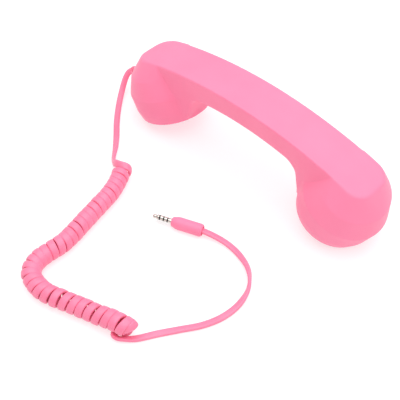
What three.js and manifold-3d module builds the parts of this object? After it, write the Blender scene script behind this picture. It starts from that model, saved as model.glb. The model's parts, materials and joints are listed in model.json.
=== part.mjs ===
// Retro plug-in telephone handset: an arched shell with a tilted round cup at each end, three keys
// under the handle, and a curly cord that ends in a 3.5 mm four-pole plug.
// Millimetres. +X runs from the mouthpiece to the earpiece, +Z is up, and Z = 0 is the table that
// both cup rims rest on.

import * as THREE from 'three';
import { ConvexGeometry } from 'three/addons/geometries/ConvexGeometry.js';
import { mergeVertices } from 'three/addons/utils/BufferGeometryUtils.js';
import Module from 'manifold-3d';

const wasm = await Module();
wasm.setup();

// ---------------------------------------------------------------- driving dimensions

const GAP = 0.3; // clearance between pieces that meet

const band = { height: 67, halfWidth: 16.8, halfLength: 101.4, arcRadius: 337, cornerRadius: 11 };
const handle = { thickness: 19.4, underRadius: 220, neckX: 48.8, neckRadius: 10.6 };

// The handle's sides slope inwards, and turn upright between the necks and the cups.
const draft = { middle: 0.167, cups: -0.02, from: 42, to: 66 };
const wall = 2.3;

// Each neck is filled down to the cup behind it. X and Z of its outline, from the fillet to the rim.
const neckOutline = [[48.3, 35.3], [48.8, 31.5], [50, 26.5], [51.4, 19.8], [60, 19.8], [60, 40]];

// A cup is the convex body between the band's end and four rings around its own tilted axis.
const cup = { tilt: THREE.MathUtils.degToRad(20.24), creaseX: 78.2, rimX: 75.3, sides: 36 };
const cupRings = [
  { depth: 0, radius: 27.2, across: 27.2 },
  { depth: 7.4, radius: 29.4, across: 29.4 },
  { depth: 20.9, radius: 30.6, across: 30.6 },
  { depth: 34.7, radius: 24.8, across: 26.8 },
];
const rimZ = cupRings[0].radius * Math.sin(cup.tilt);
const mouth = { radius: 24.5, depth: 8.5, ledgeRadius: 22.6, ledgeDepth: 10.6 };

const cover = { halfLength: 37.5, halfWidth: 11, thickness: 2.2, screwX: 34 };
const board = { length: 50, width: 17, thickness: 1.6, bottom: 56.2, screwX: 22 };
const weight = { length: 36, width: 17, bottom: 59.4, top: 63.6, screwX: 12 };
const keys = [
  { name: 'call', x: 0, radius: 6, face: 46.2 },
  { name: 'volume_up', x: 14, radius: 3.2, face: 45.9 },
  { name: 'volume_down', x: -14, radius: 3.2, face: 45.9 },
];
const key = { flange: 1, flangeBottom: 50.1, flangeTop: 51.1, plungerRadius: 1.6 };
const tact = { size: 6, bottom: 52.8, plungerTop: 54 };

const capFace = { radius: 24.2, front: 0.9, back: 3.1, skirt: 2, skirtEnd: 8.2 };
const soundHole = { radius: 1.1, rings: [{ count: 1, at: 0 }, { count: 6, at: 5 }, { count: 12, at: 10 }] };

const exit = { x: -112, z: 22.3, slope: THREE.MathUtils.degToRad(24), length: 12.7 };
const boot = { collar: 4.3, collarLength: 2, base: 3.7, tip: 2.8, neck: 2.6, flange: 4.2 };
const cordRadius = 1.8;
const coilRadius = 6.6;

const plug = { bodyRadius: 4.5, bodyLength: 22.4, pinRadius: 1.75, pinLength: 14, bandLength: 0.8 };
const plugRear = new THREE.Vector3(20.8, -72, plug.bodyRadius);
const plugTip = new THREE.Vector3(-12.9, -85.9, plug.bodyRadius);

// ---------------------------------------------------------------- cord route, X Y Z

const alongExit = (distance) =>
  [exit.x - distance * Math.cos(exit.slope), 0, exit.z - distance * Math.sin(exit.slope)];
const leadRoute = [
  alongExit(exit.length + GAP), alongExit(exit.length + 1.5),
  [-127.3, -1.8, 13.9], [-127.5, -4.6, 11], [-126, -8.8, 7.4], [-123.3, -13.6, 4.4],
  [-118.6, -20.2, 2.4], [-110, -30.4, 1.9], [-101, -39.7, 1.9], [-90.6, -49.4, 1.9],
  [-81.5, -58.6, 1.9], [-74.5, -66.6, 1.9], [-66.5, -75.3, 2.4],
];
const coilRoute = [
  [-61.2, -70.3], [-55, -77.5], [-50.2, -86.5], [-47, -95.5], [-44.9, -105.5], [-42.9, -115],
  [-40.8, -125], [-38.6, -135], [-37.2, -144.5], [-37.9, -154.5], [-38.2, -163.3], [-36.3, -170.2],
  [-31.8, -175], [-25.5, -177], [-18.5, -177.5], [-11.5, -176.3], [-4.5, -173.8], [4, -170.8],
  [14, -167.3], [24, -164.4], [32, -162], [41, -159.6],
];
const tailRoute = [
  [42.8, -162.4, 2.2], [47.2, -158.7, 1.9], [54.4, -146.8, 1.9], [62.2, -135.2, 1.9], [69.9, -123.5, 1.9],
  [74.8, -110.5, 1.9], [75.9, -96.6, 1.9], [72.1, -83.4, 1.9], [62.8, -73.2, 1.9], [50.1, -68, 1.9],
  [38.5, -67.2, 2.2], [29.5, -69, 3.4], [21.7, -71.7, 4.5],
];

// ---------------------------------------------------------------- shape helpers

// Height of the band's top and of the handle's underside at a distance x from the middle.
const arcDrop = (x, radius) => radius - Math.sqrt(radius * radius - x * x);
const backZ = (x) => band.height - arcDrop(x, band.arcRadius);

function underZ(x) {
  const arc = band.height - handle.thickness - arcDrop(x, handle.underRadius);
  const intoNeck = Math.min(Math.max(Math.abs(x) - handle.neckX + handle.neckRadius, 0), handle.neckRadius);
  return arc - arcDrop(intoNeck, handle.neckRadius);
}

function toManifold(geometry) {
  const bare = geometry.clone();
  bare.deleteAttribute('normal');
  bare.deleteAttribute('uv');
  const merged = mergeVertices(bare, 1e-4);
  return new wasm.Manifold(new wasm.Mesh({
    numProp: 3,
    vertProperties: new Float32Array(merged.attributes.position.array),
    triVerts: new Uint32Array(merged.index.array),
  }));
}

function toGeometry(solid) {
  const mesh = solid.getMesh();
  const geometry = new THREE.BufferGeometry();
  geometry.setAttribute('position', new THREE.BufferAttribute(mesh.vertProperties, 3));
  geometry.setIndex(new THREE.BufferAttribute(mesh.triVerts, 1));
  geometry.computeVertexNormals();
  return geometry;
}

const joined = (geometries) => geometries.map(toManifold).reduce((all, one) => all.add(one));
const cutBy = (solid, geometries) => geometries.length ? solid.subtract(joined(geometries)) : solid;

// A solid through cross-sections that all have the same number of points, in the same order.
function loft(sections) {
  const count = sections[0].length;
  const index = [];
  for (let s = 0; s < sections.length - 1; s++) {
    for (let p = 0; p < count; p++) {
      const a = s * count + p;
      const b = s * count + (p + 1) % count;
      index.push(a, b, a + count, b, b + count, a + count);
    }
  }
  const last = (sections.length - 1) * count;
  for (let p = 1; p < count - 1; p++) {
    index.push(0, p + 1, p, last, last + p, last + p + 1);
  }
  const geometry = new THREE.BufferGeometry();
  geometry.setAttribute('position', new THREE.Float32BufferAttribute(sections.flat(2), 3));
  geometry.setIndex(index);
  return geometry;
}

// A turned solid around +Z. The profile's points are [radius, height], going up on the outside.
function turned(profile, sides = 24) {
  const points = profile.map(([radius, height]) => new THREE.Vector2(radius, height));
  return new THREE.LatheGeometry(points, sides).rotateX(Math.PI / 2);
}

const disc = (radius, bottom, top, sides = 24) =>
  turned([[0, bottom], [radius, bottom], [radius, top], [0, top]], sides);

const ring = (inner, outer, bottom, top, sides = 24) =>
  turned([[inner, bottom], [outer, bottom], [outer, top], [inner, top], [inner, bottom]], sides);

const block = (x, y, z, cx, cy, cz) => new THREE.BoxGeometry(x, y, z).translate(cx, cy, cz);

function tube(route, radius, sides, steps) {
  const section = [];
  for (let i = 0; i < sides; i++) {
    const angle = (2 * Math.PI * i) / sides;
    section.push(new THREE.Vector2(radius * Math.cos(angle), radius * Math.sin(angle)));
  }
  const path = new THREE.CatmullRomCurve3(route.map((p) => new THREE.Vector3(...p)), false, 'centripetal');
  const shape = new THREE.Shape(section);
  return new THREE.ExtrudeGeometry(shape, { steps, extrudePath: path, bevelEnabled: false });
}

// A pan-head screw that points up, with the underside of its head at the given height.
const screw = (headRadius, headHeight, shaftRadius, seat, top) => turned([
  [0, seat - headHeight], [headRadius, seat - headHeight], [headRadius, seat],
  [shaftRadius, seat], [shaftRadius, top], [0, top],
], 14);

// Places a geometry given in a cup's own frame: Z is the depth in from the rim, X points to the end.
function inCup(geometry, side) {
  geometry.rotateY(cup.tilt).translate(cup.rimX, 0, rimZ);
  return side > 0 ? geometry : geometry.rotateZ(Math.PI);
}

// Places a geometry given along +Z so that it lies on the cord's exit axis, Z = 0 at the wall.
const onExit = (geometry) =>
  geometry.rotateY(-Math.PI / 2 - exit.slope).translate(exit.x, 0, exit.z);

// ---------------------------------------------------------------- outer form

// Half the handle's width at x and height z.
function sideY(x, z) {
  const upright = THREE.MathUtils.smoothstep(Math.abs(x), draft.from, draft.to);
  return band.halfWidth - THREE.MathUtils.lerp(draft.middle, draft.cups, upright) * (backZ(x) - z);
}

// The handle's cross-section at x, moved inwards by an inset.
function handleSection(x, inset) {
  const top = backZ(x) - inset;
  const bottom = underZ(x) + inset;
  const topHalf = band.halfWidth - inset;
  const bottomHalf = sideY(x, bottom) - inset;
  const bevel = 1.5;
  return [
    [x, -topHalf, top], [x, -bottomHalf, bottom + bevel], [x, bevel - bottomHalf, bottom],
    [x, bottomHalf - bevel, bottom], [x, bottomHalf, bottom + bevel], [x, topHalf, top],
  ];
}

// The handle's form, cut closer together where the fillet of each neck bends down.
function handleForm(inset) {
  const filletStart = handle.neckX - handle.neckRadius;
  const places = [1, 2, 3].map((i) => (filletStart * i) / 3);
  for (let i = 1; i <= 4; i++) {
    places.push(filletStart + handle.neckRadius * Math.sin((i * Math.PI) / 8));
  }
  places.push(62, cup.creaseX + 1);
  const mirrored = places.map((x) => -x).reverse();
  return loft([...mirrored, 0, ...places].map((x) => handleSection(x, inset)));
}

// The fill of the neck at +X, with the slope that the handle's sides have in the middle.
function neckForm() {
  const half = (x, z) => band.halfWidth - draft.middle * (backZ(x) - z);
  const points = neckOutline.flatMap(([x, z]) =>
    [-1, 1].map((sideways) => new THREE.Vector3(x, sideways * half(x, z), z)));
  return new ConvexGeometry(points);
}

// The convex body of a cup: the end of the band, and the rings around the cup's axis.
function cupForm(inset, rings) {
  const points = [];
  const half = band.halfWidth - inset;
  const end = band.halfLength - inset;
  const corner = band.cornerRadius - inset;
  for (const sideways of [-1, 1]) {
    for (const x of [cup.creaseX, (cup.creaseX + end - corner) / 2]) {
      points.push(new THREE.Vector3(x, sideways * half, backZ(x) - inset));
    }
    for (let i = 0; i <= 4; i++) {
      const angle = (i * Math.PI) / 8;
      const x = end - corner + corner * Math.sin(angle);
      const y = half - corner + corner * Math.cos(angle);
      points.push(new THREE.Vector3(x, sideways * y, backZ(x) - inset));
    }
  }
  for (const { depth, radius, across } of rings) {
    for (let i = 0; i < cup.sides; i++) {
      const angle = (2 * Math.PI * i) / cup.sides;
      const x = (radius - inset) * Math.cos(angle);
      const y = (across - inset) * Math.sin(angle);
      const point = new THREE.Vector3(x, y, depth).applyAxisAngle(new THREE.Vector3(0, 1, 0), cup.tilt);
      points.push(point.add(new THREE.Vector3(cup.rimX, 0, rimZ)));
    }
  }
  return new ConvexGeometry(points);
}

const bothEnds = (make) => [make(), make().rotateZ(Math.PI)];
const outerForm = (inset) =>
  joined([handleForm(inset), ...bothEnds(neckForm), ...bothEnds(() => cupForm(inset, cupRings))]);

// ---------------------------------------------------------------- shell and cover

// A post that hangs from the inside of the band at x, y down to the given height.
const post = (x, y, radius, bottom) =>
  disc(radius, bottom, backZ(x) - wall / 2, 12).translate(x, y, 0);
const pilot = (x, y, bottom) => disc(1.2, bottom - 1, backZ(x) - 1.2, 8).translate(x, y, 0);

const clampScrew = { x: -86, y: 5.5, seat: 43.4, post: 45.7 };
const posts = [
  ...[-1, 1].map((side) => [side * cover.screwX, 0, 3.2, underZ(cover.screwX) + cover.thickness + GAP]),
  ...[-1, 1].map((side) => [side * board.screwX, 0, 2.6, board.bottom + board.thickness + GAP]),
  ...[-1, 1].map((side) => [side * weight.screwX, 0, 2.6, weight.top + GAP]),
  [clampScrew.x, clampScrew.y, 3, clampScrew.post],
];

function shellGeometry() {
  const innerRings = [
    { depth: mouth.ledgeDepth, radius: 29.6, across: 29.6 },
    ...cupRings.slice(2),
  ];
  const hollow = joined([
    handleForm(wall),
    ...bothEnds(() => cupForm(wall, innerRings)),
    ...[-1, 1].map((side) => inCup(disc(mouth.radius, -2, mouth.depth, cup.sides), side)),
    ...[-1, 1].map((side) => inCup(disc(mouth.ledgeRadius, 5, mouth.ledgeDepth + 1, cup.sides), side)),
  ]);
  const opening = block(
    2 * (cover.halfLength + GAP), 2 * (cover.halfWidth + GAP), 14, 0, 0, band.height - handle.thickness - 2,
  );
  const cordHole = onExit(disc(boot.neck + GAP, -12, 6, 16));
  return toGeometry(
    cutBy(
      outerForm(0)
        .subtract(hollow)
        .add(joined(posts.map(([x, y, radius, bottom]) => post(x, y, radius, bottom)))),
      [opening, cordHole, ...posts.map(([x, y, , bottom]) => pilot(x, y, bottom))],
    ),
  );
}

// Curved strip flush with the handle's underside, with openings for the keys and the two screws.
function coverGeometry() {
  const sections = [];
  for (let i = -6; i <= 6; i++) {
    const x = (cover.halfLength * i) / 6;
    const bottom = underZ(x);
    const top = bottom + cover.thickness;
    sections.push([
      [x, -cover.halfWidth, top], [x, -cover.halfWidth, bottom],
      [x, cover.halfWidth, bottom], [x, cover.halfWidth, top],
    ]);
  }
  const keyHoles = keys.map(({ x, radius }) => disc(radius + GAP, 40, 55, 20).translate(x, 0, 0));
  const screwHoles = [-1, 1].flatMap((side) => [
    disc(1.5, 40, 55, 12).translate(side * cover.screwX, 0, 0),
    disc(2.7, 40, underZ(cover.screwX) + 1, 14).translate(side * cover.screwX, 0, 0),
  ]);
  return toGeometry(cutBy(toManifold(loft(sections)), [...keyHoles, ...screwHoles]));
}

// ---------------------------------------------------------------- keys, switches, board, weight

// A key stands out of the cover, and its flange keeps it from falling through.
const keyGeometry = ({ x, radius, face }) => turned([
  [0, face], [radius - 0.8, face], [radius, face + 0.8], [radius, key.flangeBottom],
  [radius + key.flange, key.flangeBottom], [radius + key.flange, key.flangeTop], [0, key.flangeTop],
], 20).translate(x, 0, 0);

const plungerGeometry = ({ x }) =>
  disc(key.plungerRadius, key.flangeTop + GAP, tact.plungerTop, 12).translate(x, 0, 0);

function switchGeometry({ x }) {
  const height = board.bottom - 0.2 - tact.bottom;
  const body = block(tact.size, tact.size, height, x, 0, tact.bottom + height / 2);
  const well = disc(key.plungerRadius + GAP, tact.bottom - 1, tact.plungerTop + 1.2, 12).translate(x, 0, 0);
  return toGeometry(cutBy(toManifold(body), [well]));
}

function boardGeometry() {
  const plate = block(board.length, board.width, board.thickness, 0, 0, board.bottom + board.thickness / 2);
  const holes = [-1, 1].map((side) => disc(1.5, 50, 60, 12).translate(side * board.screwX, 0, 0));
  return toGeometry(cutBy(toManifold(plate), holes));
}

function weightGeometry() {
  const height = weight.top - weight.bottom;
  const bar = block(weight.length, weight.width, height, 0, 0, weight.bottom + height / 2);
  const holes = [-1, 1].flatMap((side) => [
    disc(1.5, 50, 70, 12).translate(side * weight.screwX, 0, 0),
    disc(2.9, 50, weight.bottom + 2, 14).translate(side * weight.screwX, 0, 0),
  ]);
  return toGeometry(cutBy(toManifold(bar), holes));
}

// ---------------------------------------------------------------- what sits in the cups

// Perforated cap with a skirt, and an inner ring that centres the speaker or the microphone.
function capGeometry(side, seatRadius, seatEnd) {
  const { radius, front, back, skirt, skirtEnd } = capFace;
  const solid = turned([
    [0, front], [radius, front], [radius, skirtEnd], [radius - skirt, skirtEnd], [radius - skirt, back],
    [seatRadius + 1.2, back], [seatRadius + 1.2, seatEnd], [seatRadius, seatEnd], [seatRadius, back],
    [0, back],
  ], 30);
  const holes = soundHole.rings.flatMap(({ count, at }) =>
    Array.from({ length: count }, (_, i) => {
      const angle = (2 * Math.PI * i) / count;
      return disc(soundHole.radius, -1, back + 1, 6).translate(at * Math.cos(angle), at * Math.sin(angle), 0);
    }));
  return inCup(toGeometry(cutBy(toManifold(solid), holes)), side);
}

const speaker = { radius: 16.5, seat: 16.8, front: 4.7, back: 9.6 };

const speakerFrame = () => turned([
  [14.2, 4.7], [16.5, 4.7], [16.5, 6], [14.6, 6], [9, speaker.back], [4.6, speaker.back],
  [4.6, 8.6], [8.4, 8.6], [14.2, 5.6], [14.2, 4.7],
], 28);

const speakerCone = () => turned([
  [0, 6.6], [4, 6.3], [6, 6.9], [13.8, 4.9], [13.8, 5.4], [6, 7.5], [4, 6.9], [0, 7.2],
], 24);

const speakerMagnet = () => turned([
  [0, speaker.back + GAP], [8.6, speaker.back + GAP], [8.6, 14], [0, 14],
], 24);

const microphone = { seat: 5.6, screenTop: 4, bootFront: 4.3, bootBack: 9 };

const microphoneBoot = () => ring(4.4, 5.3, microphone.bootFront, microphone.bootBack, 20);
const microphoneCapsule = () => disc(4.1, microphone.bootFront, microphone.bootBack + 0.4, 20);

// ---------------------------------------------------------------- cord, boot and plug

// Rubber boot: a ribbed sleeve outside the wall, a neck through it and a flange behind it.
function bootGeometry() {
  const ribs = [];
  const ribStep = (exit.length - boot.collarLength) / 5;
  for (let i = 0; i < 5; i++) {
    const start = boot.collarLength + i * ribStep;
    const radius = boot.base + ((boot.tip - boot.base) * i) / 4;
    ribs.push([radius, start], [radius, start + ribStep * 0.65]);
    if (i < 4) {
      ribs.push([radius - 0.7, start + ribStep * 0.65], [radius - 0.7, start + ribStep]);
    }
  }
  const sleeve = onExit(turned([
    [0, -8], [boot.collar, -8], [boot.collar, boot.collarLength], ...ribs, [boot.tip, exit.length],
    [0, exit.length],
  ], 16));
  const outside = toManifold(sleeve).subtract(outerForm(-GAP));
  const inside = toManifold(onExit(disc(boot.flange, -6, 0, 16))).intersect(outerForm(wall + GAP));
  const neck = onExit(disc(boot.neck, -5, 1.2, 16));
  return toGeometry(outside.add(inside).add(joined([neck])));
}

// Clamp plate that squeezes the cord against the post's side, held by one screw.
function clampGeometry() {
  const { x, y, seat, post: postEnd } = clampScrew;
  const thickness = postEnd - GAP - seat;
  const plate = block(8, 16, thickness, x, y - 4.5, seat + thickness / 2);
  return toGeometry(cutBy(toManifold(plate), [disc(1.5, 40, 50, 12).translate(x, y, 0)]));
}

const cordInner = [
  [-105.2, 0, 25.3], [-101, -1.2, 29.4], [-98.4, -2.6, 38], [-95.6, -3.4, 45], [-91, -3.6, 48],
  [-84, -3.4, 47.9], [-70, 3, 51.4], [-55, 7, 54], [-40, 7.2, 56.4], [-25.8 - cordRadius, 5.6, 57],
];
const microphoneWire = [
  [-78.6, 0, 19.4], [-79, -2, 26], [-76, -6, 40], [-66, -7.5, 50], [-50, -7.5, 54.5], [-36, -7.5, 56.4],
  [-25.8, -5.6, 57],
];
const speakerWire = [
  [84.2, -11.2, 20.8], [82, -10, 28], [77, -8, 42], [66, -7.5, 50.5], [50, -7.5, 54.5], [36, -7.5, 56.4],
  [25.8, -5.6, 57],
];

// Places a geometry given along +Z on the plug's axis, Z = 0 at the rear face of its body.
function onPlug(geometry) {
  const direction = plugTip.clone().sub(plugRear).normalize();
  geometry.applyQuaternion(new THREE.Quaternion().setFromUnitVectors(new THREE.Vector3(0, 0, 1), direction));
  return geometry.translate(plugRear.x, plugRear.y, plugRear.z);
}

function plugPieces() {
  const { bodyRadius, bodyLength, pinRadius, pinLength, bandLength } = plug;
  const seam = 0.1;
  const pieces = [
    ['plug_housing', turned([
      [0, 0], [bodyRadius - 1, 0], [bodyRadius, 1], [bodyRadius, bodyLength - 4.6],
      [3.2, bodyLength - 0.6], [2.8, bodyLength], [0, bodyLength],
    ], 20), plastic],
  ];
  const metals = ['plug_sleeve', 'plug_ring_2', 'plug_ring_1'];
  let start = bodyLength + seam;
  metals.forEach((name, i) => {
    const bandStart = bodyLength + 2.9 * (i + 1) - bandLength / 2;
    pieces.push([name, disc(pinRadius, start, bandStart - seam, 16), nickel]);
    const insulator = disc(pinRadius - 0.05, bandStart, bandStart + bandLength, 16);
    pieces.push([`plug_insulator_${i + 1}`, insulator, black]);
    start = bandStart + bandLength + seam;
  });
  const end = bodyLength + pinLength;
  pieces.push(['plug_tip', turned([
    [0, start], [pinRadius, start], [pinRadius, end - 3.4], [1.15, end - 2.5], [1.6, end - 1.5],
    [0.5, end], [0, end],
  ], 16), nickel]);
  return pieces.map(([name, geometry, material]) => [name, onPlug(geometry), material]);
}

// ---------------------------------------------------------------- assembly

const look = (color, roughness, metalness = 0) => () =>
  new THREE.MeshStandardMaterial({ color, roughness, metalness });
const plastic = look(0xfd90b4, 0.55);
const rubber = look(0xfb86ac, 0.7);
const black = look(0x1b1b1d, 0.5);
const nickel = look(0xc9c6c0, 0.25, 1);
const steel = look(0x9a9ca0, 0.35, 1);
const zinc = look(0xb9bcc2, 0.3, 1);
const laminate = look(0x2f6b45, 0.6);
const foam = look(0x2a2a2c, 0.95);
const paper = look(0x3b3632, 0.9);

const handset = new THREE.Group();

function add(name, geometry, material) {
  const mesh = new THREE.Mesh(geometry, material());
  mesh.name = name;
  handset.add(mesh);
}

add('back_shell', shellGeometry(), plastic);
add('handle_cover', coverGeometry(), plastic);
[-1, 1].forEach((side, i) => {
  const at = (geometry, x) => geometry.translate(side * x, 0, 0);
  const coverSeat = underZ(cover.screwX) + 1 - 0.1;
  add(`cover_screw_${i + 1}`, at(screw(2.4, 1, 0.9, coverSeat, coverSeat + 8), cover.screwX), steel);
  const boardScrew = screw(2.4, 1.3, 0.9, board.bottom - 0.2, board.bottom + 6);
  add(`board_screw_${i + 1}`, at(boardScrew, board.screwX), steel);
  const weightScrew = screw(2.4, 1.4, 0.9, weight.bottom + 1.8, weight.top + 1.8);
  add(`weight_screw_${i + 1}`, at(weightScrew, weight.screwX), steel);
});

for (const item of keys) {
  add(`${item.name}_button`, keyGeometry(item), plastic);
  add(`${item.name}_plunger`, plungerGeometry(item), black);
  add(`${item.name}_switch`, switchGeometry(item), black);
}
add('control_board', boardGeometry(), laminate);
add('handle_weight', weightGeometry(), zinc);

add('earpiece_cap', capGeometry(1, speaker.seat, 8), plastic);
add('speaker_gasket', inCup(ring(13.5, speaker.radius, 3.4, 4.4), 1), foam);
add('speaker_frame', inCup(speakerFrame(), 1), steel);
add('speaker_cone', inCup(speakerCone(), 1), paper);
add('speaker_magnet', inCup(speakerMagnet(), 1), zinc);
add('speaker_terminals', inCup(block(4, 9, 1, 12.5, 0, 9.7), 1), laminate);

add('mouthpiece_cap', capGeometry(-1, microphone.seat, 7), plastic);
add('microphone_screen', inCup(disc(microphone.seat - GAP, 3.4, microphone.screenTop, 20), -1), foam);
add('microphone_boot', inCup(microphoneBoot(), -1), black);
add('microphone_capsule', inCup(microphoneCapsule(), -1), steel);

add('speaker_wires', tube(speakerWire, 0.8, 6, 18), black);
add('microphone_wires', tube(microphoneWire, 0.8, 6, 18), black);
add('cord_inner', tube(cordInner, cordRadius, 8, 24), rubber);
add('cord_clamp', clampGeometry(), black);
add('clamp_screw', screw(2.4, 1.3, 0.9, clampScrew.seat - 0.1, clampScrew.post + 3)
  .translate(clampScrew.x, clampScrew.y, 0), steel);

add('strain_relief', bootGeometry(), rubber);
add('cord_lead', tube(leadRoute, cordRadius, 8, 26), rubber);
add('cord_coil', tube(coilRoute.map(([x, y]) => [x, y, coilRadius]), coilRadius, 12, 36), rubber);
add('cord_tail', tube(tailRoute, cordRadius, 8, 26), rubber);
for (const [name, geometry, material] of plugPieces()) {
  add(name, geometry, material);
}

export default handset;
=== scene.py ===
"""Retro plug-in telephone handset with a curly cord: the looks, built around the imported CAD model.

Metres, in the CAD model's frame: +X runs from the mouthpiece to the earpiece, +Z is up, and Z = 0 is
the table that both cup rims and the cord rest on.
"""
import json
from math import ceil, copysign, cos, pi, radians, sin, sqrt

import bmesh
import bpy
import numpy as np
from mathutils import Matrix, Vector


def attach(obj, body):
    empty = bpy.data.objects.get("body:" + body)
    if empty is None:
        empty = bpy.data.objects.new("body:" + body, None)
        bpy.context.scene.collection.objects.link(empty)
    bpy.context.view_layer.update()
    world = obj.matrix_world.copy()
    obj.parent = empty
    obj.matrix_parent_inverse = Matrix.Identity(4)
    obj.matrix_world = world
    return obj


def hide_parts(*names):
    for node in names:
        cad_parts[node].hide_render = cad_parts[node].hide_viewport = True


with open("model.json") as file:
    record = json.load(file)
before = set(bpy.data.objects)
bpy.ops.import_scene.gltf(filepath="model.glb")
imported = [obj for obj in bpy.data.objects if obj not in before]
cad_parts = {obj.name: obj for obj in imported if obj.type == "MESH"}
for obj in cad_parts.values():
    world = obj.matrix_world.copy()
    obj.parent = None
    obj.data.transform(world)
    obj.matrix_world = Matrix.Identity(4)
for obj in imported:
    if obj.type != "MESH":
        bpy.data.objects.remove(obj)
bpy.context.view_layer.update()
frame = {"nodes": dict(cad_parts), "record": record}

# ---------------------------------------------------------------- driving dimensions, as in the CAD model

MM = 0.001
GAP = 0.3 * MM

BAND_HEIGHT = 67 * MM
BAND_HALF_WIDTH = 16.8 * MM
BAND_HALF_LENGTH = 101.4 * MM
BAND_RADIUS = 337 * MM
BAND_CORNER = 11 * MM

HANDLE_THICKNESS = 19.4 * MM
UNDER_RADIUS = 220 * MM
SIDE_DRAFT, END_DRAFT = 0.167, -0.02
NECK_X = 48.8 * MM
NECK_RADIUS = 10.6 * MM
NECK_OUTLINE = [(48.3 * MM, 35.3 * MM), (48.8 * MM, 31.5 * MM), (50 * MM, 26.5 * MM), (51.4 * MM, 19.8 * MM),
                (60 * MM, 19.8 * MM), (60 * MM, 40 * MM)]
WALL = 2.3 * MM

TILT = radians(20.24)
CREASE_X = 78.2 * MM
RIM_X = 75.3 * MM
RIM_RADIUS = 27.2 * MM
RIM_Z = RIM_RADIUS * sin(TILT)
# Depth of each ring behind the rim, its radius along the handle and its radius across.
CUP_RINGS = [(0, RIM_RADIUS, RIM_RADIUS), (7.4 * MM, 29.4 * MM, 29.4 * MM), (20.9 * MM, 30.6 * MM, 30.6 * MM),
             (34.7 * MM, 24.8 * MM, 26.8 * MM)]
INNER_RINGS = [(10.6 * MM, 29.6 * MM, 29.6 * MM), *CUP_RINGS[2:]]
MOUTH_RADIUS, MOUTH_DEPTH = 24.5 * MM, 8.5 * MM
LEDGE_RADIUS, LEDGE_DEPTH = 22.6 * MM, 10.6 * MM

COVER_HALF_LENGTH, COVER_HALF_WIDTH, COVER_THICKNESS = 37.5 * MM, 11 * MM, 2.2 * MM
COVER_SCREW_X = 34 * MM
KEYS = [("call", 0, 6 * MM, 46.2 * MM), ("volume_up", 14 * MM, 3.2 * MM, 45.9 * MM),
        ("volume_down", -14 * MM, 3.2 * MM, 45.9 * MM)]
FLANGE_BOTTOM, FLANGE_TOP = 50.1 * MM, 51.1 * MM

CAP_RADIUS, CAP_FRONT, CAP_BACK, CAP_SKIRT_END = 24.2 * MM, 0.9 * MM, 3.1 * MM, 8.2 * MM
SPEAKER_SEAT, MICROPHONE_SEAT = 16.8 * MM, 5.6 * MM
SOUND_HOLE_RADIUS = 1.1 * MM
SOUND_HOLE_RINGS = [(1, 0), (6, 5 * MM), (12, 10 * MM)]

EXIT = Vector((-112 * MM, 0, 22.3 * MM))
EXIT_SLOPE = radians(24)

PLUG_REAR = Vector((20.8 * MM, -72 * MM, 4.5 * MM))
PLUG_TIP = Vector((-12.9 * MM, -85.9 * MM, 4.5 * MM))
PLUG_LENGTH = 22.4 * MM
PIN_RADIUS, PIN_LENGTH, PIN_BAND = 1.75 * MM, 14 * MM, 0.8 * MM

# The cord is a flat lead, pressed a little wider in the coil, that twists wherever it is straight.
CORD_WIDTH, COILED_WIDTH, CORD_THICKNESS = 4.6 * MM, 5.2 * MM, 2.4 * MM
CORD_SQUARENESS = 0.6
COIL_RADIUS = 5.3 * MM
COIL_AXIS_Z = 6.6 * MM
# Where the even turns start along the coil, and how far they and the last two turns ride up at its end.
EVEN_TURNS_START = 8.2 * MM
END_LIFT, LAST_TURNS_LIFT = 2.4 * MM, 2.2 * MM
# A route point no higher than this rests on the table, whichever way the cord is turned there.
ON_TABLE_Z = 1.9 * MM
RING_STEP = 0.9 * MM
POINTS_PER_TURN = 16

# ---------------------------------------------------------------- camera

# The photo's viewpoint, solved from the outline of the handset and the plug on one table.
camera_data = bpy.data.cameras.new("camera")
camera_data.lens = 66.13
camera_data.sensor_width = 36
camera_data.clip_start = 0.01
camera = bpy.data.objects.new("camera", camera_data)
camera.matrix_world = Matrix((
    (0.72466, -0.52871, 0.44196, 0.227367),
    (0.68898, 0.54349, -0.47951, -0.299377),
    (0.01332, 0.65198, 0.75812, 0.393474),
    (0, 0, 0, 1),
))
bpy.context.scene.collection.objects.link(camera)
bpy.context.scene.camera = camera

# ---------------------------------------------------------------- mesh helpers


def new_object(name, mesh):
    obj = bpy.data.objects.new(name, mesh)
    bpy.context.scene.collection.objects.link(obj)
    return obj


def from_bmesh(name, bm):
    bmesh.ops.recalc_face_normals(bm, faces=bm.faces)
    mesh = bpy.data.meshes.new(name)
    bm.to_mesh(mesh)
    bm.free()
    return new_object(name, mesh)


def loft(name, rings):
    """A closed solid through rings that all have the same number of points."""
    bm = bmesh.new()
    rows = [[bm.verts.new(p) for p in ring] for ring in rings]
    count = len(rows[0])
    for row, following in zip(rows, rows[1:]):
        for i in range(count):
            j = (i + 1) % count
            bm.faces.new((row[i], row[j], following[j], following[i]))
    bm.faces.new(rows[0][::-1])
    bm.faces.new(rows[-1])
    return from_bmesh(name, bm)


def lathe(name, profile, sides=64, place=Matrix()):
    """A solid turned around Z. The profile's points are (radius, height); its ends may lie on the axis."""
    bm = bmesh.new()
    rows = []
    for radius, height in profile:
        if radius < 1e-7:
            rows.append([bm.verts.new((0, 0, height))])
            continue
        angles = [2 * pi * i / sides for i in range(sides)]
        rows.append([bm.verts.new((radius * cos(a), radius * sin(a), height)) for a in angles])
    for row, following in zip(rows, rows[1:]):
        for i in range(sides):
            j = (i + 1) % sides
            corners = [row[i % len(row)], row[j % len(row)],
                       following[j % len(following)], following[i % len(following)]]
            bm.faces.new(list(dict.fromkeys(corners)))
    if profile[0] == profile[-1]:
        bmesh.ops.remove_doubles(bm, verts=rows[0] + rows[-1], dist=1e-7)
    bm.transform(place)
    return from_bmesh(name, bm)


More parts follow.
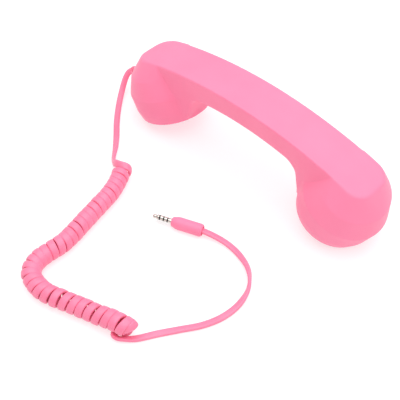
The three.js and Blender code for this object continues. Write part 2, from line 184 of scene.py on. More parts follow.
def disc(radius, bottom, top, sides=48, place=Matrix()):
    return lathe("disc", [(0, bottom), (radius, bottom), (radius, top), (0, top)], sides, place)


def box(lowest, highest, place=Matrix()):
    bm = bmesh.new()
    size = Vector(highest) - Vector(lowest)
    middle = (Vector(highest) + Vector(lowest)) / 2
    bmesh.ops.create_cube(bm, size=1, matrix=place @ Matrix.Translation(middle) @ Matrix.Diagonal((*size, 1)))
    return from_bmesh("box", bm)


def hull(name, points):
    bm = bmesh.new()
    for p in points:
        bm.verts.new(p)
    result = bmesh.ops.convex_hull(bm, input=bm.verts)
    loose = {v for v in result["geom_interior"] + result["geom_unused"] if isinstance(v, bmesh.types.BMVert)}
    bmesh.ops.delete(bm, geom=list(loose), context="VERTS")
    return from_bmesh(name, bm)


def apply_modifiers(obj):
    evaluated = obj.evaluated_get(bpy.context.evaluated_depsgraph_get())
    mesh = bpy.data.meshes.new_from_object(evaluated)
    obj.modifiers.clear()
    obj.data = mesh


def combine(target, others, operation):
    """Adds the other solids to the target, or cuts them from it, and removes them."""
    for other in others:
        modifier = target.modifiers.new("combine", "BOOLEAN")
        modifier.operation = operation
        modifier.solver = "MANIFOLD"
        modifier.object = other
    apply_modifiers(target)
    for other in others:
        bpy.data.objects.remove(other)
    return target


def smoothstep(low, high, value):
    t = np.clip((value - low) / (high - low), 0, 1)
    return t * t * (3 - 2 * t)


# ---------------------------------------------------------------- materials


EDGE_WEAR = 0.25


def surface(slot, base, second, roughness, grain, height, metallic=0.0, stretch=(1, 1, 1), patch=45,
            spread=0.05, sheen=0.0, coat=0.0, specular=0.5, glow=0.0):
    """A procedural finish: uneven colour, worn edges, uneven gloss and a fine grain in the surface.

    The colour drifts from base to second in patches, and the roughness varies by spread. Patch and grain
    are noise scales, where a larger number is finer, and height is how deep the grain is.
    """
    material = bpy.data.materials.new(slot)
    material.use_nodes = True
    nodes, links = material.node_tree.nodes, material.node_tree.links
    shader = nodes["Principled BSDF"]
    shader.inputs["Metallic"].default_value = metallic
    shader.inputs["Sheen Weight"].default_value = sheen
    shader.inputs["Coat Weight"].default_value = coat
    shader.inputs["Specular IOR Level"].default_value = specular
    shader.inputs["Emission Strength"].default_value = glow

    place = nodes.new("ShaderNodeTexCoord")
    mapping = nodes.new("ShaderNodeMapping")
    mapping.inputs["Scale"].default_value = stretch
    links.new(place.outputs["Object"], mapping.inputs["Vector"])

    def noise(scale, detail):
        node = nodes.new("ShaderNodeTexNoise")
        node.inputs["Scale"].default_value = scale
        node.inputs["Detail"].default_value = detail
        links.new(mapping.outputs["Vector"], node.inputs["Vector"])
        return node.outputs["Fac"]

    def blend(factor, first, other):
        node = nodes.new("ShaderNodeMix")
        node.data_type = "RGBA"
        links.new(factor, node.inputs["Factor"])
        for socket, color in ((node.inputs[6], first), (node.inputs[7], other)):
            if isinstance(color, tuple):
                socket.default_value = (*color, 1)
            else:
                links.new(color, socket)
        return node.outputs[2]

    def span(value, low, high, to_low, to_high):
        node = nodes.new("ShaderNodeMapRange")
        node.inputs["From Min"].default_value = low
        node.inputs["From Max"].default_value = high
        node.inputs["To Min"].default_value = to_low
        node.inputs["To Max"].default_value = to_high
        links.new(value, node.inputs["Value"])
        return node.outputs["Result"]

    uneven = blend(span(noise(patch, 4), 0.35, 0.65, 0, 1), base, second)
    pointiness = nodes.new("ShaderNodeNewGeometry").outputs["Pointiness"]
    lighter = tuple(min(1.0, channel * 1.15 + 0.02) for channel in base)
    worn = blend(span(pointiness, 0.52, 0.62, 0, EDGE_WEAR), uneven, lighter)
    links.new(worn, shader.inputs["Base Color"])
    links.new(span(noise(patch * 4, 3), 0.3, 0.7, roughness - spread, roughness + spread),
              shader.inputs["Roughness"])

    bump = nodes.new("ShaderNodeBump")
    bump.inputs["Strength"].default_value = 1
    bump.inputs["Distance"].default_value = height
    links.new(noise(grain, 2), bump.inputs["Height"])
    links.new(bump.outputs["Normal"], shader.inputs["Normal"])
    return material


MATERIALS = {
    "pink_shell": surface("pink_shell", (0.985, 0.226, 0.382), (0.995, 0.24, 0.4), 0.5, 2600, 0.012 * MM,
                          sheen=0.05, specular=0.4),
    "pink_rubber": surface("pink_rubber", (0.96, 0.212, 0.355), (0.985, 0.235, 0.385), 0.42, 1500, 0.03 * MM,
                           patch=120, spread=0.08),
    "black_plastic": surface("black_plastic", (0.012, 0.012, 0.013), (0.02, 0.02, 0.021), 0.45, 3000,
                             0.01 * MM),
    "black_rubber": surface("black_rubber", (0.014, 0.014, 0.014), (0.024, 0.024, 0.023), 0.7, 2200,
                            0.02 * MM),
    "laminate": surface("laminate", (0.012, 0.11, 0.035), (0.02, 0.16, 0.06), 0.35, 900, 0.02 * MM,
                        patch=700, coat=0.3),
    "foam": surface("foam", (0.012, 0.012, 0.013), (0.035, 0.035, 0.037), 0.95, 1100, 0.25 * MM, patch=900),
    "paper": surface("paper", (0.02, 0.016, 0.012), (0.04, 0.032, 0.024), 0.9, 1600, 0.06 * MM, patch=500),
    "steel": surface("steel", (0.5, 0.51, 0.53), (0.6, 0.6, 0.61), 0.32, 900, 0.006 * MM, metallic=1.0,
                     stretch=(1, 6, 1), patch=200, spread=0.1),
    "aluminium": surface("aluminium", (0.66, 0.67, 0.69), (0.74, 0.74, 0.75), 0.38, 800, 0.006 * MM,
                         metallic=1.0, stretch=(1, 1, 8), patch=200, spread=0.08),
    "nickel": surface("nickel", (0.6, 0.57, 0.52), (0.68, 0.66, 0.61), 0.2, 1400, 0.002 * MM, metallic=1.0,
                      patch=600, spread=0.07),
}


def finish_piece(obj, name, slot, nodes, body="handset", sharp=38):
    """Names and shades a piece, gives it its material, and lets it stand for its CAD nodes."""
    obj.name = name
    obj.data.shade_smooth()
    obj.data.set_sharp_from_angle(angle=radians(sharp))
    obj.data.materials.clear()
    obj.data.materials.append(MATERIALS[slot])
    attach(obj, body)
    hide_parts(*nodes)
    return obj


# ---------------------------------------------------------------- cord route

ALONG_EXIT = Vector((-cos(EXIT_SLOPE), 0, -sin(EXIT_SLOPE)))

# The routes of the CAD model, except that the lead and the tail here run on into the coil's real turns.
# The fourth value is the twist in degrees: 0 lies flat on the table, 90 is on edge.
LEAD = [
    (*(EXIT + ALONG_EXIT * 0.0117), -60), (*(EXIT + ALONG_EXIT * 0.0142), -60),
    (-0.1273, -0.0018, 0.0139, -45), (-0.1275, -0.0046, 0.0110, -35), (-0.1260, -0.0088, 0.0074, -30),
    (-0.1233, -0.0136, 0.0044, -20), (-0.1186, -0.0202, 0.0024, -10), (-0.1100, -0.0304, 0.0019, 0),
    (-0.1010, -0.0397, 0.0019, 0), (-0.0906, -0.0494, 0.0019, 10), (-0.0815, -0.0586, 0.0019, 40),
    (-0.0745, -0.0666, 0.0022, 65),
]
COIL_AXIS = [
    (-0.0612, -0.0703), (-0.0550, -0.0775), (-0.0502, -0.0865), (-0.0470, -0.0955), (-0.0449, -0.1055),
    (-0.0429, -0.1150), (-0.0408, -0.1250), (-0.0386, -0.1350), (-0.0372, -0.1445), (-0.0379, -0.1545),
    (-0.0382, -0.1633), (-0.0363, -0.1702), (-0.0318, -0.1750), (-0.0255, -0.1770), (-0.0185, -0.1775),
    (-0.0115, -0.1763), (-0.0045, -0.1738), (0.0040, -0.1708), (0.0140, -0.1673), (0.0240, -0.1644),
    (0.0320, -0.1620), (0.0410, -0.1596),
]
TAIL = [
    (0.0349, -0.1640, 0.0019, -10), (0.0363, -0.1663, 0.0019, -35), (0.0394, -0.1662, 0.0019, -40),
    (0.0428, -0.1634, 0.0019, -30), (0.0472, -0.1587, 0.0019, -15), (0.0544, -0.1468, 0.0019, 0),
    (0.0622, -0.1352, 0.0019, -8), (0.0699, -0.1235, 0.0019, -10), (0.0748, -0.1105, 0.0019, -5),
    (0.0759, -0.0966, 0.0019, -25), (0.0721, -0.0834, 0.0019, -75), (0.0628, -0.0732, 0.0019, -130),
    (0.0501, -0.0680, 0.0019, -162), (0.0385, -0.0672, 0.0022, -165), (0.0295, -0.0690, 0.0034, -168),
    (0.0217, -0.0717, 0.0045, -170), (0.0195, -0.0725, 0.0045, -170),
]
# Distance along the coil's axis, and the pitch of the turns there, both in mm.
COIL_PITCH = [(0, 5.2), (90, 5.2), (102, 4.85), (122, 4.85), (134, 6.1), (172, 6.1), (182, 5.2)]
# The loose first turn: angle around the axis, mm along it, mm away from it, and the angle by which the
# flat side leans towards the coil's end.
FIRST_TURN = [
    (-2, -2.2, 5.6, 0), (32, 0.2, 5.3, 20), (62, 2.6, 5.2, 35), (93, 4.4, 5.5, 40), (118, 5.2, 6.2, 30),
    (145, 5.5, 6.9, 10), (170, 5.4, 6.8, 0), (200, 5.4, 6.2, 0), (235, 5.7, 5.7, 0), (270, 6.3, 5.3, 0),
    (315, 7.2, 5.3, 0),
]
# The last two turns, which topple over the coil's end: angle around the axis, mm past the axis's end,
# mm away from the axis, and the angle by which the turn's top is tilted towards the end.
LAST_TURNS = [
    (0, -2.5, 5.3, 8), (45, -2.2, 5.3, 13), (90, -1.8, 5.3, 18), (135, -1.2, 5.3, 22), (180, -0.6, 5.2, 26),
    (225, -0.2, 5.1, 29), (270, -0.2, 4.9, 32), (315, -0.4, 4.3, 36), (360, -0.8, 3.2, 43),
    (405, -0.8, 3.6, 50), (450, -0.4, 4.4, 55), (495, 0.8, 4.9, 54), (540, 2.0, 5.0, 46),
    (585, 1.9, 5.0, 32), (622, 1.0, 5.5, 10),
]


def catmull_rom(points, step):
    """Points every step along a centripetal Catmull-Rom curve; each point may carry further values."""
    p = np.array(points, float)
    p = np.vstack([2 * p[0] - p[1], p, 2 * p[-1] - p[-2]])
    fine = []
    for a, b, c, d in zip(p, p[1:], p[2:], p[3:]):
        spans = [max(np.linalg.norm((v - u)[:3]), 1e-9) for u, v in ((a, b), (b, c), (c, d))]
        t0, t1, t2, t3 = np.cumsum([0] + [span ** 0.5 for span in spans])
        for t in np.linspace(t1, t2, max(2, ceil(spans[1] / step * 4)), endpoint=False):
            ab = ((t1 - t) * a + (t - t0) * b) / (t1 - t0)
            bc = ((t2 - t) * b + (t - t1) * c) / (t2 - t1)
            cd = ((t3 - t) * c + (t - t2) * d) / (t3 - t2)
            abc = ((t2 - t) * ab + (t - t0) * bc) / (t2 - t0)
            bcd = ((t3 - t) * bc + (t - t1) * cd) / (t3 - t1)
            fine.append(((t2 - t) * abc + (t - t1) * bcd) / (t2 - t1))
    fine = np.array(fine + [p[-2]])
    along = np.concatenate([[0], np.cumsum(np.linalg.norm(np.diff(fine[:, :3], axis=0), axis=1))])
    places = np.linspace(0, along[-1], ceil(along[-1] / step))
    return np.column_stack([np.interp(places, along, column) for column in fine.T])


def half_height(normal_z, across_z, width):
    """Half the height of the cord's section, from the upward part of its flat side and of its width."""
    power = 2 / (2 - CORD_SQUARENESS)
    return (abs(width * across_z) ** power + abs(CORD_THICKNESS * normal_z) ** power) ** (1 / power) / 2


def laid(route):
    """Route points with the direction that the cord's flat side faces, settled onto the table."""
    points = []
    for i, (x, y, z, twist) in enumerate(route):
        before, after = route[max(i - 1, 0)], route[min(i + 1, len(route) - 1)]
        ahead = Vector(after[:3]) - Vector(before[:3])
        sideways = ahead.cross(Vector((0, 0, 1))).normalized()
        upwards = sideways.cross(ahead).normalized()
        angle = radians(twist)
        lowest = half_height(cos(angle), sin(angle), CORD_WIDTH)
        height = lowest if z <= ON_TABLE_Z else max(z, lowest)
        points.append((x, y, height, *(upwards * cos(angle) + sideways * sin(angle)), CORD_WIDTH))
    return points


def around(centre, direction, lift, angle, along, radius, lean=0.0, tilt=0.0):
    """A point on a turn of the coil, and the direction of the cord's flat side there.

    The flat side leans towards the coil's end by lean; a tilted turn has its top pushed that way.
    """
    ahead = np.array([*direction, 0])
    right = np.array([direction[1], -direction[0], 0])
    upright = sin(tilt) * ahead + np.array([0, 0, cos(tilt)])
    outward = cos(angle) * right + sin(angle) * upright
    middle = np.array([centre[0], centre[1], COIL_AXIS_Z + lift]) + along * ahead
    return (*(middle + radius * outward), *(outward * cos(lean) + ahead * sin(lean)), COILED_WIDTH)


def coil_points():
    axis = catmull_rom([(x, y, 0) for x, y in COIL_AXIS], 0.25 * MM)[:, :2]
    along = np.concatenate([[0], np.cumsum(np.linalg.norm(np.diff(axis, axis=0), axis=1))])
    directions = np.gradient(axis, axis=0)
    directions /= np.linalg.norm(directions, axis=1)[:, None]
    total = along[-1]

    def at(distance):
        centre = [np.interp(distance, along, axis[:, k]) for k in (0, 1)]
        direction = np.array([np.interp(distance, along, directions[:, k]) for k in (0, 1)])
        return centre, direction / np.linalg.norm(direction)

    def lift(distance):
        # The last turns ride on the cord that comes out from under them.
        return END_LIFT * float(smoothstep(total - 24 * MM, total - 10 * MM, distance))

    points = []
    start = at(0)
    for angle, place, radius, lean in FIRST_TURN:
        points.append(around(*start, 0, radians(angle), place * MM, radius * MM, lean=radians(lean)))

    # The even turns stop just before a full turn, where the last two take over.
    distance, angle = EVEN_TURNS_START, 0.0
    while distance < total - 3.5 * MM or (angle % (2 * pi)) < radians(325):
        turn = angle / (2 * pi)
        shift = 0.35 * MM * sin(1.7 * turn) * sin(angle)
        radius = COIL_RADIUS * (1 + 0.012 * sin(2.3 * turn))
        place = min(distance, total)
        points.append(around(*at(place), lift(distance), angle, distance - place + shift, radius))
        pitch = np.interp(distance / MM, *zip(*COIL_PITCH)) * MM * (1 + 0.05 * sin(1.3 * turn))
        distance += pitch / POINTS_PER_TURN
        angle += 2 * pi / POINTS_PER_TURN

    end = at(total)
    for angle, place, radius, tilt in LAST_TURNS:
        points.append(around(*end, LAST_TURNS_LIFT, radians(angle), place * MM, radius * MM,
                             tilt=radians(tilt)))
    # Under the coil and out towards the tail.
    points.append((0.0396, -0.1606, 0.0018, 0, 0.1, -1, CORD_WIDTH))
    points.append((0.0366, -0.1616, 0.0015, 0, 0, -1, CORD_WIDTH))
    return points


def cord_path():
    """For each ring of the cord: its centre, the directions of its flat side and width, and the width."""
    points = np.array(laid(LEAD) + coil_points() + laid(TAIL))
    for i in range(1, len(points)):
        if np.dot(points[i, 3:6], points[i - 1, 3:6]) < 0:
            points[i, 3:6] *= -1
    path = catmull_rom(points, RING_STEP)
    centres, normals, widths = path[:, :3], path[:, 3:6], path[:, 6]
    ahead = np.gradient(centres, axis=0)
    ahead /= np.linalg.norm(ahead, axis=1)[:, None]
    normals -= (normals * ahead).sum(axis=1)[:, None] * ahead
    normals /= np.linalg.norm(normals, axis=1)[:, None]
    across = np.cross(ahead, normals)
    centres[:, 2] = np.maximum(centres[:, 2], half_height(normals[:, 2], across[:, 2], widths))
    return centres, normals, across, widths


def flat_cord(name, centres, normals, across, widths, sides=16):
    rings = []
    for centre, normal, wide, width in zip(centres, normals, across, widths):
        ring = []
        for i in range(sides):
            angle = 2 * pi * (i + 0.5) / sides
            u = copysign(abs(cos(angle)) ** CORD_SQUARENESS, cos(angle)) * width / 2
            v = copysign(abs(sin(angle)) ** CORD_SQUARENESS, sin(angle)) * CORD_THICKNESS / 2
            ring.append(centre + u * wide + v * normal)
        rings.append(ring)
    return loft(name, rings)


cord_rings = cord_path()
cord = flat_cord("cord", *cord_rings)
finish_piece(cord, "cord", "pink_rubber", ["cord_lead", "cord_coil", "cord_tail"], sharp=70)

# ---------------------------------------------------------------- boot and plug

exit_frame = Matrix.Translation(EXIT) @ Matrix.Rotation(-pi / 2 - EXIT_SLOPE, 4, "Y")
plug_frame = Matrix.Translation(PLUG_REAR) @ Vector((0, 0, 1)).rotation_difference(
    PLUG_TIP - PLUG_REAR).to_matrix().to_4x4()


def plug_piece(name, slot, profile):
    points = [(r * MM, h * MM) for r, h in profile]
    finish_piece(lathe(name, points, 64, plug_frame), name + "_skin", slot, [name])
    return name + "_skin"


def plug_pieces():
    body, pin, band = PLUG_LENGTH / MM, PIN_RADIUS / MM, PIN_BAND / MM
    names = [plug_piece("plug_housing", "pink_shell", [
        (0, 1.2), (2.9, 1.2), (3.1, 1.0), (3.1, 0.2), (3.3, 0), (3.7, 0.1), (4.3, 0.9), (4.5, 1.7),
        (4.5, body - 5.2), (4.4, body - 4.2), (3.5, body - 1.2), (3.1, body - 0.4), (2.8, body - 0.1),
        (2.4, body), (0, body),
    ])]
    start = body + 0.05
    for i, metal in enumerate(("plug_sleeve", "plug_ring_2", "plug_ring_1")):
        middle = body + 2.9 * (i + 1)
        low, high = middle - band / 2, middle + band / 2
        names.append(plug_piece(metal, "nickel", [
            (0, start), (pin - 0.08, start), (pin, start + 0.08), (pin, low - 0.13), (pin - 0.08, low - 0.05),
            (0, low - 0.05),
        ]))
        names.append(plug_piece(f"plug_insulator_{i + 1}", "black_plastic", [
            (0, low), (pin - 0.05, low), (pin - 0.05, high), (0, high),
        ]))
        start = high + 0.05
    end = (PLUG_LENGTH + PIN_LENGTH) / MM
    names.append(plug_piece("plug_tip", "nickel", [
        (0, start), (pin - 0.08, start), (pin, start + 0.08), (pin, end - 3.6), (1.7, end - 3.4),
        (1.25, end - 2.8), (1.15, end - 2.5), (1.25, end - 2.2), (1.6, end - 1.6), (1.62, end - 1.4),
        (1.45, end - 0.9), (0.9, end - 0.25), (0.4, end), (0, end),
    ]))
    return names


plug_names = plug_pieces()

# ---------------------------------------------------------------- the handset's outer form


def arc_drop(x, radius):
    return radius - sqrt(radius * radius - x * x)


def back_z(x):
    return BAND_HEIGHT - arc_drop(x, BAND_RADIUS)


def under_z(x):
    into_neck = min(max(abs(x) - NECK_X + NECK_RADIUS, 0), NECK_RADIUS)
    return BAND_HEIGHT - HANDLE_THICKNESS - arc_drop(x, UNDER_RADIUS) - arc_drop(into_neck, NECK_RADIUS)


def side_y(x, z):
    """Half the handle's width at x and height z: its sides slope inwards, and stand upright at the cups."""
    upright = float(smoothstep(42 * MM, 66 * MM, abs(x)))
    draft = SIDE_DRAFT + (END_DRAFT - SIDE_DRAFT) * upright
    return BAND_HALF_WIDTH - draft * (back_z(x) - z)


def rounded(corners, radii, steps=4):
    """Corners of an outline, each replaced by a short curve that starts its radius away from it."""
    points = []
    for i, (corner, radius) in enumerate(zip(corners, radii)):
        corner = Vector(corner)
        before = Vector(corners[i - 1]) - corner
        after = Vector(corners[(i + 1) % len(corners)]) - corner
        first, last = corner + before.normalized() * radius, corner + after.normalized() * radius
        for k in range(steps + 1):
            t = k / steps
            points.append((1 - t) ** 2 * first + 2 * t * (1 - t) * corner + t * t * last)
    return points


def handle_form(inset):
    reach = CREASE_X + 1 * MM
    rings = []
    for i in range(-60, 61):
        x = reach * i / 60
        top, bottom = back_z(x) - inset, under_z(x) + inset
        top_half = BAND_HALF_WIDTH - inset
        bottom_half = side_y(x, bottom) - inset
        outline = rounded(
            [(-top_half, top), (-bottom_half, bottom), (bottom_half, bottom), (top_half, top)],
            [0.9 * MM, 3 * MM, 3 * MM, 0.9 * MM],
        )
        rings.append([(x, y, z) for y, z in outline])
    return loft("handle", rings)


def neck_form(side):
    """The fill of a neck, as wide as the handle there, down to the cup behind it."""
    points = [(side * x, sideways * side_y(x, z), z) for x, z in NECK_OUTLINE for sideways in (-1, 1)]
    return hull("neck", points)


def cup_form(inset, rings, side):
    """The convex body between the end of the band and the rings around the cup's tilted axis."""
    half, end, corner = BAND_HALF_WIDTH - inset, BAND_HALF_LENGTH - inset, BAND_CORNER - inset
    outline = [(CREASE_X, half), ((CREASE_X + end - corner) / 2, half)]
    for i in range(9):
        angle = i * pi / 16
        outline.append((end - corner + corner * sin(angle), half - corner + corner * cos(angle)))
    points = [Vector((x, sideways * y, back_z(x) - inset)) for x, y in outline for sideways in (-1, 1)]
    place = Matrix.Translation((RIM_X, 0, RIM_Z)) @ Matrix.Rotation(TILT, 4, "Y")
    for depth, radius, across in rings:
        for i in range(120):
            angle = 2 * pi * i / 120
            on_ring = Vector(((radius - inset) * cos(angle), (across - inset) * sin(angle), depth))
            points.append(place @ on_ring)
    if side < 0:
        points = [Vector((-p.x, -p.y, p.z)) for p in points]
    return hull("cup", points)


def cup_frame(side):
    """From a cup's own frame, where Z is the depth in from the rim, to the model's."""
    place = Matrix.Translation((RIM_X, 0, RIM_Z)) @ Matrix.Rotation(TILT, 4, "Y")
    return place if side > 0 else Matrix.Rotation(pi, 4, "Z") @ place


def soften(obj, weight, iterations):
    """Smooths the mesh where weight, a function of the points, is above 0."""
    points = np.empty(len(obj.data.vertices) * 3)
    obj.data.vertices.foreach_get("co", points)
    weights = weight(points.reshape(-1, 3))
    group = obj.vertex_groups.new(name="soft")
    for level in range(1, 11):
        chosen = np.flatnonzero(np.round(weights * 10) == level)
        group.add([int(i) for i in chosen], level / 10, "REPLACE")
    modifier = obj.modifiers.new("soften", "SMOOTH")
    modifier.factor = 0.5
    modifier.iterations = iterations
    modifier.vertex_group = "soft"
    apply_modifiers(obj)
    obj.vertex_groups.clear()


def neck_and_ends(points):
    """Where the moulding has no hard edge: the lower part of each neck, and the ends of the band."""
    x, z = np.abs(points[:, 0]), points[:, 2]
    neck = smoothstep(43 * MM, 48 * MM, x) * smoothstep(66 * MM, 58 * MM, x)
    neck = neck * smoothstep(45 * MM, 38 * MM, z) * smoothstep(20 * MM, 25 * MM, z)
    end = smoothstep(80 * MM, 96 * MM, x) * smoothstep(36 * MM, 46 * MM, z)
    return np.maximum(neck, 0.6 * end)


def outer_form():
    """The outside of the shell as one skin: handle and cups merged, with soft necks and ends."""
    form = handle_form(0)
    cups = [cup_form(0, CUP_RINGS, side) for side in (-1, 1)]
    necks = [neck_form(side) for side in (-1, 1)]
    combine(form, cups + necks, "UNION")
    remesh = form.modifiers.new("remesh", "REMESH")
    remesh.mode = "VOXEL"
    remesh.voxel_size = 0.6 * MM
    apply_modifiers(form)
    soften(form, lambda points: np.ones(len(points)), 3)
    soften(form, neck_and_ends, 70)
    return form


# Screw posts inside the shell: x, y, radius and height of the lower end.
COVER_POST_END = under_z(COVER_SCREW_X) + COVER_THICKNESS + GAP
POSTS = [
    *[(side * COVER_SCREW_X, 0, 3.2 * MM, COVER_POST_END) for side in (-1, 1)],
    *[(side * 22 * MM, 0, 2.6 * MM, 58.1 * MM) for side in (-1, 1)],
    *[(side * 12 * MM, 0, 2.6 * MM, 63.9 * MM) for side in (-1, 1)],
    (-86 * MM, 5.5 * MM, 3 * MM, 45.7 * MM),
]


def build_shell():
    shell = outer_form()
    cuts = [handle_form(WALL)]
    for side in (-1, 1):
        cuts.append(cup_form(WALL, INNER_RINGS, side))
        cuts.append(disc(MOUTH_RADIUS, -2 * MM, MOUTH_DEPTH, 128, cup_frame(side)))
        cuts.append(disc(LEDGE_RADIUS, 5 * MM, LEDGE_DEPTH + 1 * MM, 128, cup_frame(side)))
    combine(shell, cuts, "DIFFERENCE")
    combine(shell, [disc(r, low, back_z(x) - WALL / 2, 24, Matrix.Translation((x, y, 0)))
                    for x, y, r, low in POSTS], "UNION")
    length, width = COVER_HALF_LENGTH + GAP, COVER_HALF_WIDTH + GAP
    holes = [box((-length, -width, 38 * MM), (length, width, 52.6 * MM))]
    holes.append(disc(2.9 * MM, -12 * MM, 6 * MM, 32, exit_frame))
    holes += [disc(1.2 * MM, low - 1 * MM, back_z(x) - 1.2 * MM, 16, Matrix.Translation((x, y, 0)))
              for x, y, _, low in POSTS]
    combine(shell, holes, "DIFFERENCE")
    return finish_piece(shell, "shell", "pink_shell", ["back_shell"], sharp=40)


build_shell()


def build_boot():
    """Ribbed rubber sleeve over the start of the cord, with slots that let it bend."""
    sleeve = lathe("boot", [(r * MM, h * MM) for r, h in [
        (0, -7), (4.9, -7), (4.9, 1.4), (4.7, 2.0), (4.5, 2.2), (4.3, 5), (4.1, 8), (3.8, 11), (3.6, 12.0),
        (3.2, 12.5), (2.6, 12.7), (0, 12.7),
    ]], 48, exit_frame)
    slots = []
    for i in range(4):
        low = (2.9 + 2.4 * i) * MM
        for sideways in (-1, 1):
            edges = sorted((sideways * 1.2 * MM, sideways * 6 * MM))
            if i % 2:
                slots.append(box((edges[0], -6 * MM, low), (edges[1], 6 * MM, low + 1.3 * MM), exit_frame))
            else:
                slots.append(box((-6 * MM, edges[0], low), (6 * MM, edges[1], low + 1.3 * MM), exit_frame))
    combine(sleeve, slots + [cup_form(-0.1 * MM, CUP_RINGS, -1)], "DIFFERENCE")
    neck = disc(2.6 * MM, -5 * MM, 3 * MM, 32, exit_frame)
    combine(sleeve, [neck], "UNION")
    return finish_piece(sleeve, "boot", "pink_rubber", ["strain_relief"])


boot = build_boot()

# ---------------------------------------------------------------- cover, keys, screws and caps


def build_cover():
    rings = []
    for i in range(-30, 31):
        x = COVER_HALF_LENGTH * i / 30
        bottom = under_z(x)
        outline = rounded(
            [(-COVER_HALF_WIDTH, bottom + COVER_THICKNESS), (-COVER_HALF_WIDTH, bottom),
             (COVER_HALF_WIDTH, bottom), (COVER_HALF_WIDTH, bottom + COVER_THICKNESS)],
            [0.2 * MM, 0.5 * MM, 0.5 * MM, 0.2 * MM], 3,
        )
        rings.append([(x, y, z) for y, z in outline])
    cover = loft("cover", rings)
    holes = [disc(radius + GAP, 40 * MM, 55 * MM, 64, Matrix.Translation((x, 0, 0)))
             for _, x, radius, _ in KEYS]
    for side in (-1, 1):
        place = Matrix.Translation((side * COVER_SCREW_X, 0, 0))
        holes.append(disc(1.5 * MM, 40 * MM, 55 * MM, 32, place))
        holes.append(disc(2.7 * MM, 40 * MM, under_z(COVER_SCREW_X) + 1 * MM, 48, place))
    combine(cover, holes, "DIFFERENCE")
    return finish_piece(cover, "cover_plate", "pink_shell", ["handle_cover"])


def build_key(name, x, radius, face):
    """A button with a shallow dish in its face and a soft edge."""
    place = Matrix.Translation((x, 0, 0))
    profile = [(0, face + 0.35 * MM)]
    for i in range(1, 7):
        r = (radius - 1.1 * MM) * i / 6
        profile.append((r, face + 0.35 * MM * (1 - (i / 6) ** 2)))
    profile += [
        (radius - 0.8 * MM, face - 0.02 * MM), (radius - 0.4 * MM, face + 0.1 * MM),
        (radius - 0.12 * MM, face + 0.35 * MM), (radius, face + 0.8 * MM), (radius, FLANGE_BOTTOM),
        (radius + 1 * MM, FLANGE_BOTTOM), (radius + 1 * MM, FLANGE_TOP), (0, FLANGE_TOP),
    ]
    key = lathe(name, profile, 64, place)
    return finish_piece(key, f"{name}_cap", "pink_shell", [f"{name}_button"], body=f"{name}_key")


def build_cover_screw(index, side):
    """Pan-head screw with a cross recess, head down."""
    seat = under_z(COVER_SCREW_X) + 0.9 * MM
    place = Matrix.Translation((side * COVER_SCREW_X, 0, seat))
    screw = lathe("screw", [(r * MM, h * MM) for r, h in [
        (0, -1), (1.2, -0.98), (1.9, -0.85), (2.3, -0.5), (2.4, -0.15), (2.3, 0), (0.9, 0), (0.9, 7),
        (0.3, 8), (0, 8),
    ]], 40, place)
    blades = [box((-1.35 * MM, -0.25 * MM, -1.6 * MM), (1.35 * MM, 0.25 * MM, -0.35 * MM),
                  place @ Matrix.Rotation(radians(35 + 50 * side + 90 * k), 4, "Z")) for k in (0, 1)]
    combine(screw, blades, "DIFFERENCE")
    return finish_piece(screw, f"cover_screw_head_{index}", "steel", [f"cover_screw_{index}"])


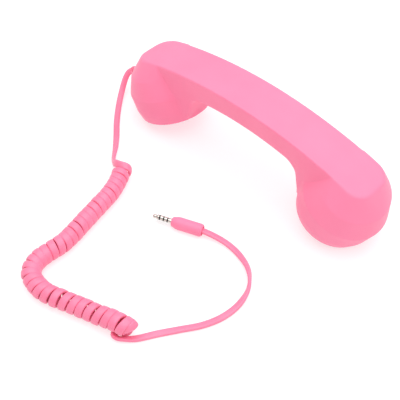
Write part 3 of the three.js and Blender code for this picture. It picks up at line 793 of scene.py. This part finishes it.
def build_cap(name, side, seat, seat_end):
    """Perforated cap, slightly dished around its sound holes, with a skirt and an inner seat ring."""
    inner = CAP_RADIUS - 2 * MM
    cap = lathe(name, [
        (0, CAP_FRONT + 0.5 * MM), (10 * MM, CAP_FRONT + 0.5 * MM), (13.2 * MM, CAP_FRONT + 0.42 * MM),
        (14.6 * MM, CAP_FRONT + 0.1 * MM), (15.4 * MM, CAP_FRONT), (CAP_RADIUS - 0.7 * MM, CAP_FRONT),
        (CAP_RADIUS - 0.2 * MM, CAP_FRONT + 0.2 * MM), (CAP_RADIUS, CAP_FRONT + 0.7 * MM),
        (CAP_RADIUS, CAP_SKIRT_END), (inner, CAP_SKIRT_END), (inner, CAP_BACK), (seat + 1.2 * MM, CAP_BACK),
        (seat + 1.2 * MM, seat_end), (seat, seat_end), (seat, CAP_BACK), (0, CAP_BACK),
    ], 96, cup_frame(side))
    holes = []
    for count, at in SOUND_HOLE_RINGS:
        for i in range(count):
            angle = 2 * pi * i / count
            place = cup_frame(side) @ Matrix.Translation((at * cos(angle), at * sin(angle), 0))
            holes.append(disc(SOUND_HOLE_RADIUS, -1 * MM, CAP_BACK + 1 * MM, 20, place))
    combine(cap, holes, "DIFFERENCE")
    return finish_piece(cap, f"{name}_grille", "pink_shell", [name])


build_cover()
for key_name, key_x, key_radius, key_face in KEYS:
    build_key(key_name, key_x, key_radius, key_face)
for screw_index, screw_side in ((1, -1), (2, 1)):
    build_cover_screw(screw_index, screw_side)
build_cap("earpiece_cap", 1, SPEAKER_SEAT, 8 * MM)
build_cap("mouthpiece_cap", -1, MICROPHONE_SEAT, 7 * MM)

# ---------------------------------------------------------------- CAD nodes that stay

for part in frame["record"]["subparts"]:
    node = frame["nodes"][part["node"]]
    if node.hide_render:
        continue
    node.data.materials.clear()
    node.data.materials.append(MATERIALS[part["material_slot"]])

# ---------------------------------------------------------------- floor and light


def build_floor():
    floor = new_object("floor", bpy.data.meshes.new("floor"))
    bm = bmesh.new()
    bmesh.ops.create_grid(bm, x_segments=2, y_segments=2, size=4)
    bm.to_mesh(floor.data)
    bm.free()
    floor.data.materials.append(surface("floor", (0.45, 0.45, 0.45), (0.46, 0.46, 0.46), 0.85, 300,
                                        0.02 * MM, specular=0.2, glow=0.6))


def softbox(name, location, size, energy):
    light = bpy.data.lights.new(name, "AREA")
    light.shape = "SQUARE"
    light.size = size
    light.energy = energy
    lamp = bpy.data.objects.new(name, light)
    lamp.location = location
    lamp.rotation_euler = (-Vector(location)).to_track_quat("-Z", "Y").to_euler()
    bpy.context.scene.collection.objects.link(lamp)


build_floor()
softbox("overhead", (0.05, 0.1, 1.3), 1.8, 20)

world = bpy.data.worlds.new("studio")
world.use_nodes = True
world.node_tree.nodes["Background"].inputs["Color"].default_value = (1, 1, 1, 1)
world.node_tree.nodes["Background"].inputs["Strength"].default_value = 0.6
bpy.context.scene.world = world
bpy.context.scene.view_settings.view_transform = "Standard"
